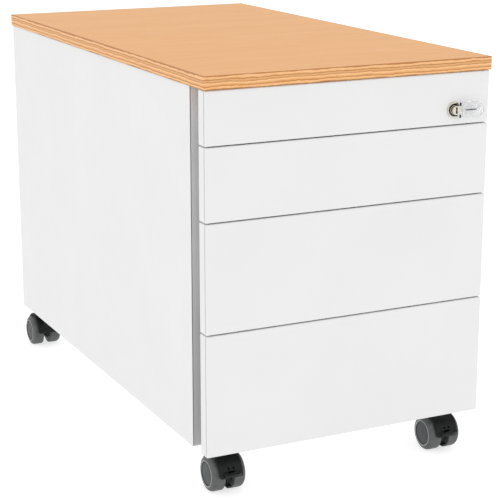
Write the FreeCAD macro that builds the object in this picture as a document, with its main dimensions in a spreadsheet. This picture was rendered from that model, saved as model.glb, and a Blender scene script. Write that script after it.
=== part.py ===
"""Mobile desk pedestal: a folded steel body with four drawers, a wooden top board, a
cylinder lock with a folding key, and four twin-wheel castors.

The origin is on the floor under the middle of the top board. +X is to the right, +Y to
the back and +Z up, so the drawers open towards -Y. All sizes are in millimetres.
"""
import FreeCAD, Part
import os
import Sketcher
from FreeCAD import Placement, Rotation, Vector

# The driving dimensions. Every cell of the sheet holds one of these numbers.
SIZES = {
    # top board, of veneered wood with an edging band all round
    "board_width": 430,
    "board_depth": 790,
    "board_thick": 18,
    "board_overhang": 2,
    "edging": 2,
    # steel body
    "body_width": 426,
    "body_low": 65,
    "panel": 1.2,
    "lip": 12,
    "grip_gap": 27.5,
    "post_half": 188,
    "strip_deep": 35.5,
    "strip_return": 12,
    "rear_post_front": 295,
    "rear_post_deep": 32,
    "back_flange": 16,
    # drawer fronts
    "front_thick": 20,
    "front_gap": 2.5,
    "top_gap": 2,
    "plate_inset": 9,
    "drain": 3,
    "drain_inset": 30,
    "bottom_front": 168,
    "third_front": 147.5,
    "second_front": 97,
    "top_front": 69.5,
    # drawer trays: how far above its front's lower edge each starts, and its height
    "bottom_lift": 15,
    "third_lift": 9.5,
    "second_lift": 9.5,
    "top_lift": 5.5,
    "bottom_tray": 145,
    "third_tray": 130,
    "second_tray": 55,
    "top_tray": 54,
    "tray_half": 175.3,
    "tray_back": 350,
    "tray_sheet": 1,
    # telescopic runners: three nested channels a side
    "rail_sheet": 1.2,
    "rail_start": -325,
    "rail_long": 650,
    "outer_rail_half": 16,
    "rail_play": 0.4,
    "rail_web_play": 0.6,
    "rail_tip": 177.1,
    "bottom_rail": 40,
    "third_rail": 30,
    "second_rail": 30,
    "top_rail": 34,
    # cylinder lock in the top drawer's front
    "lock_across": 157,
    "lock_lift": 20,
    "lock_flange": 11,
    "lock_flange_thick": 2,
    "lock_barrel": 9,
    "lock_barrel_long": 43,
    "lock_nut_wide": 3,
    "lock_nut_thick": 4,
    "lock_bore": 6.5,
    "running_play": 0.05,
    "spigot": 4,
    "arm_long": 38,
    "arm_wide": 10,
    "arm_start": -342,
    "arm_thick": 2.5,
    "window_play": 0.7,
    # lock bar behind the right grip strip, its tabs, and the catches on the trays
    "bar_start": -339,
    "bar_thick": 2.5,
    "bar_in": 190,
    "bar_out": 206,
    "tab_in": 178,
    "tab_tall": 4,
    "tab_play": 1,
    "bar_drop": 8,
    "catch_lift": 2.5,
    "catch_tall": 7.5,
    "catch_start": -334,
    "catch_thick": 3,
    "catch_out": 185,
    # folding key
    "key_thick": 2,
    "blade_half": 4,
    "bow_half": 6,
    "fold_across": 163.5,
    "fold_forward": 6.5,
    "cap_end": 201,
    "cap_half": 10.35,
    "cap_thick": 4.6,
    "pin": 1,
    # castors
    "wheel": 25,
    "hub": 17,
    "axle": 3,
    "trail": 22,
    "wheel_in": 6.2,
    "wheel_out": 25,
    "front_castor_across": 172,
    "front_castor_along": -331,
    "rear_castor_across": 188,
    "rear_castor_along": 342,
    "hood": 30,
    "hood_sheet": 3,
    "hood_half": 17.5,
    "hood_low": 25.5,
    "web_half": 3,
    "web_drop": 8,
    "braked_web_drop": 18,
    "stem": 5,
    "stem_long": 20.2,
    "boss": 9,
    "boss_top": 62.8,
    "lever_half": 11.5,
    "lever_pivot_out": 23.2,
    "lever_pivot_high": 31.2,
    "lever_neck": 4,
    "lug_in": 4.4,
    "lug_out": 5.6,
    "trunnion": 1.5,
    # screws that hold the board to the deck
    "screw": 2,
    "screw_head": 4.5,
    "screw_head_tall": 2.4,
    "screw_long": 12,
    "screw_across": 150,
    "screw_along": 300,
}

# The drawers from the lowest up: each name starts the aliases of that drawer's sizes.
DRAWERS = ("bottom", "third", "second", "top")

doc = FreeCAD.newDocument("MobilePedestal")
sheet = doc.addObject("Spreadsheet::Sheet", "Size")
for row, (alias, number) in enumerate(SIZES.items(), start=1):
    sheet.set(f"A{row}", alias.replace("_", " "))
    sheet.set(f"B{row}", str(number))
    sheet.setAlias(f"B{row}", alias)
doc.recompute()

pieces = {}


# ---- places worked out from the driving dimensions -------------------------------------

HALF = "(Size.body_width / 2)"
HALF_IN = f"({HALF} - Size.panel)"
FRONT = "(Size.board_overhang - Size.board_depth / 2)"
FRONT_BACK = f"({FRONT} + Size.front_thick)"
BODY_FRONT = f"({FRONT_BACK} + Size.grip_gap)"
BODY_BACK = f"(-{FRONT})"
BACK_IN = f"({BODY_BACK} - Size.panel)"
BODY_LOW = "Size.body_low"
PAN_TOP = f"({BODY_LOW} + Size.panel)"
FRONT_LOW = {}
FRONT_HIGH = {}
stack = BODY_LOW
for drawer in DRAWERS:
    FRONT_LOW[drawer] = stack
    FRONT_HIGH[drawer] = f"({stack} + Size.{drawer}_front)"
    stack = f"({stack} + Size.{drawer}_front + Size.front_gap)"
BODY_TOP = f"({FRONT_HIGH['top']} + Size.top_gap)"
DECK_LOW = f"({BODY_TOP} - Size.panel)"
BOARD_TOP = f"({BODY_TOP} + Size.board_thick)"
TRAY_LOW = {drawer: f"({FRONT_LOW[drawer]} + Size.{drawer}_lift)" for drawer in DRAWERS}
TRAY_HIGH = {drawer: f"({TRAY_LOW[drawer]} + Size.{drawer}_tray)" for drawer in DRAWERS}
RAIL_MID = {drawer: f"({TRAY_LOW[drawer]} + Size.{drawer}_rail)" for drawer in DRAWERS}
PLATE_BACK = f"({FRONT_BACK} + Size.tray_sheet)"
LOCK_X = "Size.lock_across"
LOCK_Z = f"({FRONT_LOW['top']} + Size.lock_lift)"
LOCK_FACE = f"({FRONT} - Size.lock_flange_thick)"
STRIP_BACK = f"({BODY_FRONT} + Size.strip_deep)"
FOLD_Y = f"({FRONT} - Size.fold_forward)"
STEM_LOW = "(Size.boss_top - Size.stem_long)"


# ---- ways of making a solid ------------------------------------------------------------


def value(expression):
    """The number that an expression over the sheet comes to."""
    return float(sheet.evalExpression(str(expression)))


def block(name, x, y, z):
    """A box between a low and a high expression along each axis."""
    box = doc.addObject("Part::Box", name)
    for side, axis, (low, high) in zip(("Length", "Width", "Height"), "xyz", (x, y, z)):
        box.setExpression(side, f"({high}) - ({low})")
        box.setExpression(f"Placement.Base.{axis}", f"{low}")
    return box


TURNS = {
    "+X": Rotation(Vector(0, 1, 0), 90),
    "-X": Rotation(Vector(0, 1, 0), -90),
    "+Y": Rotation(Vector(1, 0, 0), -90),
    "+Z": Rotation(),
}


def place(item, at, axis="+Z"):
    """Turn an object's own Z to an axis and bind its place to three expressions."""
    item.Placement = Placement(Vector(), TURNS[axis])
    for letter, expression in zip("xyz", at):
        item.setExpression(f"Placement.Base.{letter}", f"{expression}")
    return item


def rod(name, radius, at, axis, length):
    """A cylinder from a point, along an axis."""
    cylinder = doc.addObject("Part::Cylinder", name)
    cylinder.setExpression("Radius", f"{radius}")
    cylinder.setExpression("Height", f"{length}")
    return place(cylinder, at, axis)


def fuse(name, solids):
    """One solid from several that meet or overlap."""
    joined = doc.addObject("Part::MultiFuse", name)
    joined.Shapes = solids
    joined.Refine = True
    return joined


def cut(name, base, tools):
    """The base less every tool."""
    less = doc.addObject("Part::Cut", name)
    less.Base = base
    less.Tool = tools[0] if len(tools) == 1 else fuse(f"{name}_tools", tools)
    return less


def common(name, solids):
    """What all the solids share."""
    shared = doc.addObject("Part::MultiCommon", name)
    shared.Shapes = solids
    return shared


def group(name, solids):
    """Several separate solids that are the same kind of piece."""
    compound = doc.addObject("Part::Compound", name)
    compound.Links = solids
    return compound


def piece(label, item):
    """Give a finished sub-part its label."""
    item.Label = label
    pieces[label] = item
    return item


def draw(body, role, outline):
    """A closed outline on one of the body's origin planes, each corner bound to the sheet."""
    plane = next(f for f in body.Origin.OriginFeatures if f.Role == role)
    sketch = body.newObject("Sketcher::SketchObject", f"{body.Name}_outline")
    sketch.AttachmentSupport = [(plane, "")]
    sketch.MapMode = "FlatFace"
    corners = [Vector(value(u), value(v), 0) for u, v in outline]
    for start, end in zip(corners, corners[1:] + corners[:1]):
        sketch.addGeometry(Part.LineSegment(start, end), False)
    count = len(corners)
    for edge in range(count):
        sketch.addConstraint(Sketcher.Constraint("Coincident", edge, 2, (edge + 1) % count, 1))
    for edge, corner in enumerate(outline):
        for kind, axis, expression in (("DistanceX", -2, corner[0]), ("DistanceY", -1, corner[1])):
            distance = value(expression)
            if abs(distance) < 1e-9:
                sketch.addConstraint(Sketcher.Constraint("PointOnObject", edge, 1, axis))
                continue
            bound = sketch.addConstraint(Sketcher.Constraint(kind, -1, 1, edge, 1, distance))
            sketch.setExpression(f"Constraints[{bound}]", f"{expression}")
    return sketch


def upright(name, outline, low, high):
    """An outline seen from above, padded from one height to another."""
    body = doc.addObject("PartDesign::Body", name)
    pad = body.newObject("PartDesign::Pad", f"{name}_pad")
    pad.Profile = draw(body, "XY_Plane", outline)
    pad.setExpression("Length", f"({high}) - ({low})")
    return place(body, ("0", "0", low))


def lengthwise(name, outline, front, back):
    """An outline seen from the front, padded from one depth to another."""
    body = doc.addObject("PartDesign::Body", name)
    pad = body.newObject("PartDesign::Pad", f"{name}_pad")
    pad.Profile = draw(body, "XZ_Plane", outline)
    pad.setExpression("Length", f"({back}) - ({front})")
    return place(body, ("0", back, "0"))


def turned(name, outline, at, axis):
    """An outline of radius and height, turned about its own Z and set along an axis."""
    body = doc.addObject("PartDesign::Body", name)
    sketch = draw(body, "XZ_Plane", outline)
    turn = body.newObject("PartDesign::Revolution", f"{name}_turn")
    turn.Profile = sketch
    turn.ReferenceAxis = (sketch, ["V_Axis"])
    turn.Angle = 360
    return place(body, at, axis)


def both_ways(low, high):
    """A range on the right and its mirror image on the left, with a name for each."""
    return {"right": (low, high), "left": (f"-({high})", f"-({low})")}


# ---- top board -------------------------------------------------------------------------


def screw_places():
    """The six places, in plan, where a screw holds the board to the deck."""
    for side in (-1, 1):
        for step in (-1, 0, 1):
            yield f"{side} * Size.screw_across", f"{step} * Size.screw_along"


def top_board():
    """The board's core, with a pilot hole for each screw, and its edging band."""
    width, depth = "Size.board_width / 2", "Size.board_depth / 2"
    core_width, core_depth = f"({width} - Size.edging)", f"({depth} - Size.edging)"
    tall = (BODY_TOP, BOARD_TOP)
    core = block("board_core", (f"-{core_width}", core_width), (f"-{core_depth}", core_depth), tall)
    holes = [
        rod(f"pilot_{n}", "Size.screw * 0.8", (x, y, BODY_TOP), "+Z", "Size.screw_long")
        for n, (x, y) in enumerate(screw_places())
    ]
    piece("top_board", cut("top_board", core, holes))
    outer = block("edging_outer", (f"-{width}", width), (f"-{depth}", depth), tall)
    inner = block("edging_inner", (f"-{core_width}", core_width), (f"-{core_depth}", core_depth), tall)
    piece("top_board_edging", cut("top_board_edging", outer, [inner]))


def top_board_screws():
    """Pan-head screws up through the deck into the board."""
    head_low = f"({DECK_LOW} - Size.screw_head_tall)"
    outline = [
        ("0", "0"),
        ("Size.screw_head", "0"),
        ("Size.screw_head", "Size.screw_head_tall"),
        ("Size.screw", "Size.screw_head_tall"),
        ("Size.screw", "Size.screw_head_tall + Size.screw_long - Size.screw"),
        ("0", "Size.screw_head_tall + Size.screw_long"),
    ]
    screws = [
        turned(f"screw_{n}", outline, (x, y, head_low), "+Z")
        for n, (x, y) in enumerate(screw_places())
    ]
    piece("top_board_screws", group("top_board_screws", screws))


# ---- steel body ------------------------------------------------------------------------


def side_panels():
    """The two side sheets, from behind the grip strip's face to the back."""
    start = f"({BODY_FRONT} + Size.panel)"
    for side, across in both_ways(HALF_IN, HALF).items():
        name = f"{side}_side"
        piece(name, block(name, across, (start, BODY_BACK), (BODY_LOW, BODY_TOP)))


def back_panel():
    """The back sheet, with a flange forward along each side."""
    flange = f"({BACK_IN} - Size.back_flange)"
    outline = [
        (f"-{HALF_IN}", flange),
        (f"Size.panel - {HALF_IN}", flange),
        (f"Size.panel - {HALF_IN}", BACK_IN),
        (f"{HALF_IN} - Size.panel", BACK_IN),
        (f"{HALF_IN} - Size.panel", flange),
        (HALF_IN, flange),
        (HALF_IN, BODY_BACK),
        (f"-{HALF_IN}", BODY_BACK),
    ]
    piece("back_panel", upright("back_panel", outline, PAN_TOP, DECK_LOW))


def top_deck():
    """The sheet under the board, with a lip turned down at the front."""
    lip = "(Size.post_half - 0.1)"
    sheet_part = block("deck_sheet", (f"-{HALF_IN}", HALF_IN), (BODY_FRONT, BACK_IN), (DECK_LOW, BODY_TOP))
    lip_low = f"({DECK_LOW} - Size.lip + 2.7)"
    front_lip = block(
        "deck_lip", (f"-{lip}", lip), (BODY_FRONT, f"{BODY_FRONT} + Size.panel"), (lip_low, DECK_LOW)
    )
    holes = [
        rod(f"deck_hole_{n}", "Size.screw + 0.3", (x, y, DECK_LOW), "+Z", "Size.panel")
        for n, (x, y) in enumerate(screw_places())
    ]
    piece("top_deck", cut("top_deck", fuse("deck_folded", [sheet_part, front_lip]), holes))


def castor_places():
    """Each castor's name, its swivel axis in plan, its side and the way that it trails."""
    for end, trail in (("front", -1), ("rear", 1)):
        for side, sign in (("left", -1), ("right", 1)):
            across = f"({sign} * Size.{end}_castor_across)"
            yield f"{end}_{side}", across, f"Size.{end}_castor_along", sign, trail


def base_pan():
    """The bottom sheet, with a lip turned up at the front and the back."""
    plate = block("pan_sheet", (f"-{HALF_IN}", HALF_IN), (BODY_FRONT, BACK_IN), (BODY_LOW, PAN_TOP))
    lip = "(Size.post_half - 0.1)"
    lip_high = f"({PAN_TOP} + Size.lip)"
    front_lip = block(
        "pan_front_lip", (f"-{lip}", lip), (BODY_FRONT, f"{BODY_FRONT} + Size.panel"), (PAN_TOP, lip_high)
    )
    back_lip = block(
        "pan_back_lip", (f"-{lip}", lip), (f"{BACK_IN} - Size.panel", BACK_IN), (PAN_TOP, lip_high)
    )
    holes = [
        rod(f"{name}_stem_hole", "Size.stem + 0.1", (x, y, BODY_LOW), "+Z", "Size.panel")
        for name, x, y, _, _ in castor_places()
    ]
    piece("base_pan", cut("base_pan", fuse("pan_folded", [plate, front_lip, back_lip]), holes))


def tab_low(drawer):
    """The underside of a lock bar tab at rest: clear above its tray's catch."""
    return f"({TRAY_LOW[drawer]} + Size.catch_lift + Size.catch_tall + Size.tab_play)"


def grip_strips():
    """The two front posts: a face that shows in the grip gap, a web that carries the
    runners, and a return. The right web has windows for the lock's arm and tabs."""
    webs = []
    for side, sign in (("left", -1), ("right", 1)):
        inner, outer = "Size.post_half", HALF
        outline = [
            (inner, BODY_FRONT),
            (outer, BODY_FRONT),
            (outer, f"{BODY_FRONT} + Size.panel"),
            (f"{inner} + Size.panel", f"{BODY_FRONT} + Size.panel"),
            (f"{inner} + Size.panel", f"{STRIP_BACK} - Size.panel"),
            (f"{inner} + Size.strip_return", f"{STRIP_BACK} - Size.panel"),
            (f"{inner} + Size.strip_return", STRIP_BACK),
            (inner, STRIP_BACK),
        ]
        outline = [(f"{sign} * ({x})", y) for x, y in outline]
        webs.append(upright(f"{side}_strip", outline, PAN_TOP, DECK_LOW))
    across = ("Size.post_half - 1", "Size.post_half + Size.panel + 1")
    play = "Size.window_play"
    tab_depth = (f"Size.bar_start - {play}", f"Size.bar_start + Size.bar_thick + {play}")
    windows = [
        block(
            f"{drawer}_tab_window",
            across,
            tab_depth,
            (f"{tab_low(drawer)} - Size.bar_drop - {play}", f"{tab_low(drawer)} + Size.tab_tall + {play}"),
        )
        for drawer in DRAWERS
    ]
    arm_depth = (f"Size.arm_start - {play}", "Size.bar_start + 0.1")
    arm_tall = (f"{LOCK_Z} - Size.arm_wide / 2 - 1", f"{LOCK_Z} + 24")
    windows.append(block("arm_strip_window", across, arm_depth, arm_tall))
    right = cut("right_strip_windows", webs[1], windows)
    piece("grip_strips", group("grip_strips", [webs[0], right]))


def rear_posts():
    """The two channels inside the sides that carry the runners' back ends."""
    inner, front = "Size.post_half", "Size.rear_post_front"
    back = f"({front} + Size.rear_post_deep)"
    outline = [
        (inner, front),
        (HALF_IN, front),
        (HALF_IN, f"{front} + Size.panel"),
        (f"{inner} + Size.panel", f"{front} + Size.panel"),
        (f"{inner} + Size.panel", f"{back} - Size.panel"),
        (HALF_IN, f"{back} - Size.panel"),
        (HALF_IN, back),
        (inner, back),
    ]
    posts = [
        upright(f"{side}_rear_post", [(f"{sign} * ({x})", y) for x, y in outline], PAN_TOP, DECK_LOW)
        for side, sign in (("left", -1), ("right", 1))
    ]
    piece("rear_posts", group("rear_posts", posts))


# ---- runners ---------------------------------------------------------------------------


def channel(name, side, web, tip, half, middle):
    """One member of a runner: a web at one distance from the middle plane of the
    cabinet and two flanges that reach to another."""
    inward = "-" if value(tip) < value(web) else "+"
    inside = f"({web} {inward} Size.rail_sheet)"
    high, low = f"({middle} + {half})", f"({middle} - {half})"
    outline = [
        (web, low),
        (web, high),
        (tip, high),
        (tip, f"{high} - Size.rail_sheet"),
        (inside, f"{high} - Size.rail_sheet"),
        (inside, f"{low} + Size.rail_sheet"),
        (tip, f"{low} + Size.rail_sheet"),
        (tip, low),
    ]
    outline = [(f"{side} * {x}", z) for x, z in outline]
    return lengthwise(name, outline, "Size.rail_start", "Size.rail_start + Size.rail_long")


def runners():
    """The outer members on the posts, the middle members, and the inner members on the
    trays, each nested in the one outside it."""
    step = "(Size.rail_sheet + Size.rail_play)"
    web_step = "(Size.rail_sheet + Size.rail_web_play)"
    outer_half = "Size.outer_rail_half"
    middle_half = f"({outer_half} - {step})"
    inner_half = f"({middle_half} - {step})"
    middle_web = f"(Size.post_half - {web_step})"
    middle_tip = "(Size.rail_tip + 0.8)"
    inner_tip = f"({middle_web} - {web_step})"
    sides = (("left", -1), ("right", 1))
    outers = []
    for drawer in DRAWERS:
        middle = RAIL_MID[drawer]
        outers += [
            channel(f"{drawer}_{name}_outer", side, "Size.post_half", "Size.rail_tip", outer_half, middle)
            for name, side in sides
        ]
        middles = [
            channel(f"{drawer}_{name}_middle", side, middle_web, middle_tip, middle_half, middle)
            for name, side in sides
        ]
        inners = [
            channel(f"{drawer}_{name}_inner", side, "Size.tray_half", inner_tip, inner_half, middle)
            for name, side in sides
        ]
        piece(f"{drawer}_middle_rails", group(f"{drawer}_middle_rails", middles))
        piece(f"{drawer}_inner_rails", group(f"{drawer}_inner_rails", inners))
    piece("outer_rails", group("outer_rails", outers))


# ---- drawers ---------------------------------------------------------------------------


def drawer_front(drawer):
    """A folded steel front: a skin with returns all round, lips behind them, and a plate
    welded over its back. Two holes in the lower return let water and powder out."""
    low, high = FRONT_LOW[drawer], FRONT_HIGH[drawer]
    name = f"{drawer}_drawer_front"
    skin, lip, inset = "Size.panel", "Size.lip", "Size.plate_inset"
    outer = block(f"{drawer}_front_outer", (f"-{HALF}", HALF), (FRONT, FRONT_BACK), (low, high))
    plate = block(
        f"{drawer}_front_plate",
        (f"{inset} - {HALF}", f"{HALF} - {inset}"),
        (FRONT_BACK, PLATE_BACK),
        (f"{low} + {inset}", f"{high} - {inset}"),
    )
    hollow = block(
        f"{drawer}_front_hollow",
        (f"{skin} - {HALF}", f"{HALF} - {skin}"),
        (f"{FRONT} + {skin}", f"{FRONT_BACK} - {skin}"),
        (f"{low} + {skin}", f"{high} - {skin}"),
    )
    behind = block(
        f"{drawer}_front_behind",
        (f"{lip} - {HALF}", f"{HALF} - {lip}"),
        (f"{FRONT_BACK} - 2 * {skin}", FRONT_BACK),
        (f"{low} + {lip}", f"{high} - {lip}"),
    )
    tools = [hollow, behind]
    for side, sign in (("left", -1), ("right", 1)):
        across = f"{sign} * ({HALF} - Size.drain_inset)"
        at = (across, f"{FRONT} + Size.front_thick / 2", f"{low} - 1")
        tools.append(rod(f"{drawer}_{side}_drain", "Size.drain", at, "+Z", f"{skin} + 2"))
    if drawer == "top":
        deep = "Size.front_thick + Size.tray_sheet"
        tools.append(rod("lock_hole", "Size.lock_barrel + 0.1", (LOCK_X, FRONT, LOCK_Z), "+Y", deep))
    piece(name, cut(name, fuse(f"{drawer}_front_welded", [outer, plate]), tools))


def drawer_tray(drawer):
    """A steel tray, open at the front where it is welded to the front's plate. Its right
    wall carries the catch for the lock bar, and the top tray's has a notch for the arm."""
    low, high = TRAY_LOW[drawer], TRAY_HIGH[drawer]
    half, gauge = "Size.tray_half", "Size.tray_sheet"
    name = f"{drawer}_drawer_tray"
    outer = block(f"{drawer}_tray_outer", (f"-{half}", half), (PLATE_BACK, "Size.tray_back"), (low, high))
    catch_low = f"({low} + Size.catch_lift)"
    catch = block(
        f"{drawer}_catch",
        (half, "Size.catch_out"),
        ("Size.catch_start", "Size.catch_start + Size.catch_thick"),
        (catch_low, f"{catch_low} + Size.catch_tall"),
    )
    inside = block(
        f"{drawer}_tray_inside",
        (f"{gauge} - {half}", f"{half} - {gauge}"),
        (f"{PLATE_BACK} - 1", f"Size.tray_back - {gauge}"),
        (f"{low} + {gauge}", f"{high} + 1"),
    )
    tools = [inside]
    if drawer == "top":
        tools.append(
            block(
                "arm_tray_notch",
                (f"{half} - 2", f"{half} + 1"),
                ("Size.arm_start - 1", "Size.arm_start + Size.arm_thick + 1"),
                (f"{LOCK_Z} - Size.arm_wide / 2 - 1", f"{high} + 1"),
            )
        )
    piece(name, cut(name, fuse(f"{drawer}_tray_folded", [outer, catch]), tools))


# ---- lock ------------------------------------------------------------------------------


def lock_housing():
    """The fixed barrel: a flange on the front's face, a barrel through it, and a ring
    nut against the front's back plate."""
    flange, barrel, bore = "Size.lock_flange", "Size.lock_barrel", "Size.lock_bore"
    nut_start = f"({PLATE_BACK} - {LOCK_FACE})"
    nut_end = f"({nut_start} + Size.lock_nut_thick)"
    outline = [
        (bore, "0"),
        (flange, "0"),
        (flange, "Size.lock_flange_thick"),
        (barrel, "Size.lock_flange_thick"),
        (barrel, nut_start),
        (f"{barrel} + Size.lock_nut_wide", nut_start),
        (f"{barrel} + Size.lock_nut_wide", nut_end),
        (barrel, nut_end),
        (barrel, "Size.lock_barrel_long"),
        (bore, "Size.lock_barrel_long"),
    ]
    piece("lock_housing", turned("lock_housing", outline, (LOCK_X, LOCK_FACE, LOCK_Z), "+Y"))


def lock_core():
    """The turning plug: a keyway from the front, and a spigot behind for the arm."""
    radius = "(Size.lock_bore - Size.running_play)"
    arm_seat = f"(Size.arm_start - 3 - {LOCK_FACE})"
    outline = [
        ("0", "0.4"),
        (radius, "0.4"),
        (radius, arm_seat),
        ("Size.spigot", arm_seat),
        ("Size.spigot", f"{arm_seat} + Size.arm_thick + 4"),
        ("0", f"{arm_seat} + Size.arm_thick + 4"),
    ]
    plug = turned("lock_plug", outline, (LOCK_X, LOCK_FACE, LOCK_Z), "+Y")
    keyway = block(
        "keyway",
        (f"{LOCK_X} - Size.key_thick / 2 - 0.2", f"{LOCK_X} + Size.key_thick / 2 + 0.2"),
        (f"{LOCK_FACE} - 1", f"{LOCK_FACE} + 24"),
        (f"{LOCK_Z} - Size.blade_half - 0.3", f"{LOCK_Z} + Size.blade_half + 0.3"),
    )
    piece("lock_core", cut("lock_core", plug, [keyway]))


def lock_arm():
    """The arm on the plug's spigot: it points up when the lock is open, and turns to the
    right to push the lock bar down."""
    depth = ("Size.arm_start", "Size.arm_start + Size.arm_thick")
    half = "Size.arm_wide / 2"
    blade = block(
        "arm_blade",
        (f"{LOCK_X} - {half}", f"{LOCK_X} + {half}"),
        depth,
        (LOCK_Z, f"{LOCK_Z} + Size.arm_long"),
    )
    heel = rod("arm_heel", "Size.arm_wide * 0.6", (LOCK_X, "Size.arm_start", LOCK_Z), "+Y", "Size.arm_thick")
    hole = rod("arm_hole", "Size.spigot", (LOCK_X, "Size.arm_start", LOCK_Z), "+Y", "Size.arm_thick")
    piece("lock_arm", cut("lock_arm", fuse("arm_solid", [blade, heel]), [hole]))


def lock_bar():
    """The flat bar behind the right grip strip: a tab above each tray's catch, and a lug
    that the lock's arm pushes down."""
    depth = ("Size.bar_start", "Size.bar_start + Size.bar_thick")
    bar_low = f"({tab_low('bottom')} - 14)"
    solids = [block("bar_plate", ("Size.bar_in", "Size.bar_out"), depth, (bar_low, f"{LOCK_Z} + 38"))]
    for drawer in DRAWERS:
        low = tab_low(drawer)
        tall = (low, f"{low} + Size.tab_tall")
        solids.append(block(f"{drawer}_tab", ("Size.tab_in", "Size.bar_in"), depth, tall))
    lug_high = f"({LOCK_Z} - Size.arm_wide / 2 - 0.3 + Size.bar_drop)"
    solids.append(
        block(
            "arm_lug",
            ("Size.bar_in", "Size.bar_out"),
            ("Size.arm_start - Size.window_play", "Size.bar_start"),
            (f"{lug_high} - 6", lug_high),
        )
    )
    piece("lock_bar", fuse("lock_bar", solids))


def key_blade():
    """The key's steel: a blade in the keyway, a bow in front of it, and a hinge barrel
    with a pin for the cap."""
    half = "Size.key_thick / 2"
    bow = (f"{FOLD_Y} - {half}", f"{FOLD_Y} + {half}")
    bow_tall = (f"{LOCK_Z} - Size.bow_half", f"{LOCK_Z} + Size.bow_half")
    solids = [
        block(
            "blade",
            (f"{LOCK_X} - {half}", f"{LOCK_X} + {half}"),
            (FOLD_Y, f"{LOCK_FACE} + 22"),
            (f"{LOCK_Z} - Size.blade_half", f"{LOCK_Z} + Size.blade_half"),
        ),
        block("bow", (f"{LOCK_X} - 2", "Size.fold_across"), bow, bow_tall),
        rod(
            "hinge_barrel",
            "Size.pin * 2",
            ("Size.fold_across", FOLD_Y, f"{LOCK_Z} - Size.bow_half"),
            "+Z",
            "2 * Size.bow_half",
        ),
        rod(
            "hinge_pin",
            "Size.pin",
            ("Size.fold_across", FOLD_Y, f"{LOCK_Z} - Size.cap_half"),
            "+Z",
            "2 * Size.cap_half",
        ),
    ]
    piece("key_blade", fuse("key_blade", solids))


def key_cap():
    """The clear moulded cap that folds on the key's hinge: a fork at the hinge, a round
    end and a slot for a key ring."""
    radius = "Size.cap_half"
    start, end = "Size.fold_across", f"(Size.cap_end - {radius})"
    front = f"({FOLD_Y} - Size.cap_thick / 2)"
    tall = (f"{LOCK_Z} - {radius}", f"{LOCK_Z} + {radius}")
    depth = (front, f"{front} + Size.cap_thick")
    grip = block("cap_grip", (start, end), depth, tall)
    nose = rod("cap_nose", radius, (end, front, LOCK_Z), "+Y", "Size.cap_thick")
    knuckle = rod("cap_knuckle", "Size.cap_thick / 2", (start, FOLD_Y, tall[0]), "+Z", f"2 * {radius}")
    fork = block(
        "cap_fork",
        (f"{start} - Size.cap_thick", f"{start} + Size.cap_thick / 2 + 0.9"),
        (f"{front} - 1", f"{front} + Size.cap_thick + 1"),
        (f"{LOCK_Z} - Size.bow_half - 0.5", f"{LOCK_Z} + Size.bow_half + 0.5"),
    )
    pin_hole = rod(
        "cap_pin_hole",
        "Size.pin + Size.running_play",
        (start, FOLD_Y, f"{tall[0]} - 1"),
        "+Z",
        f"2 * {radius} + 2",
    )
    slot = block(
        "cap_slot",
        (f"{end} + 1", f"{end} + 4.5"),
        (f"{front} - 1", f"{front} + Size.cap_thick + 1"),
        (f"{LOCK_Z} - 4", f"{LOCK_Z} + 4"),
    )
    piece("key_cap", cut("key_cap", fuse("cap_solid", [grip, nose, knuckle]), [fork, pin_hole, slot]))


# ---- castors ---------------------------------------------------------------------------


def castor_stems():
    """The steel swivel pins: a collar under the base pan and a riveted head above it."""
    bottom, head_high = f"({STEM_LOW} + 0.4)", f"({PAN_TOP} + 4)"
    outline = [
        ("0", bottom),
        ("Size.stem", bottom),
        ("Size.stem", "Size.boss_top + 0.4"),
        ("Size.boss", "Size.boss_top + 0.4"),
        ("Size.boss", BODY_LOW),
        ("Size.stem", BODY_LOW),
        ("Size.stem", PAN_TOP),
        ("Size.boss - 1", PAN_TOP),
        ("Size.boss - 2", head_high),
        ("0", head_high),
    ]
    stems = [turned(f"{name}_stem", outline, (x, y, "0"), "+Z") for name, x, y, _, _ in castor_places()]
    piece("castor_stems", group("castor_stems", stems))


def wheel_hub(name, at, axis):
    """A moulded hub with a blind bore from its inner face and a slightly domed outer one."""
    bore, blind = "(Size.axle + Size.running_play)", "(Size.wheel_out - 1.7)"
    outline = [
        (bore, "Size.wheel_in + 0.8"),
        ("Size.hub", "Size.wheel_in + 0.8"),
        ("Size.hub", "Size.wheel_out - 1"),
        ("Size.hub - 1.5", "Size.wheel_out - 0.4"),
        ("0", "Size.wheel_out - 0.4"),
        ("0", blind),
        (bore, blind),
    ]
    piece(name, turned(name, outline, at, axis))


def wheel_tread(name, at, axis):
    """The soft tyre round the hub, with rounded shoulders."""
    outline = [
        ("Size.hub", "Size.wheel_in"),
        ("Size.wheel - 1.5", "Size.wheel_in"),
        ("Size.wheel", "Size.wheel_in + 1.5"),
        ("Size.wheel", "Size.wheel_out - 4"),
        ("Size.wheel - 0.9", "Size.wheel_out - 1.6"),
        ("Size.wheel - 3", "Size.wheel_out - 0.4"),
        ("Size.wheel - 6", "Size.wheel_out"),
        ("Size.hub", "Size.wheel_out - 0.4"),
    ]
    piece(name, turned(name, outline, at, axis))


def crosswise(name, radius, x, y, high, half):
    """A cylinder along X, centred on a place in plan at a height."""
    return rod(name, radius, (f"{x} - {half}", y, high), "+X", f"2 * {half}")


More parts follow.
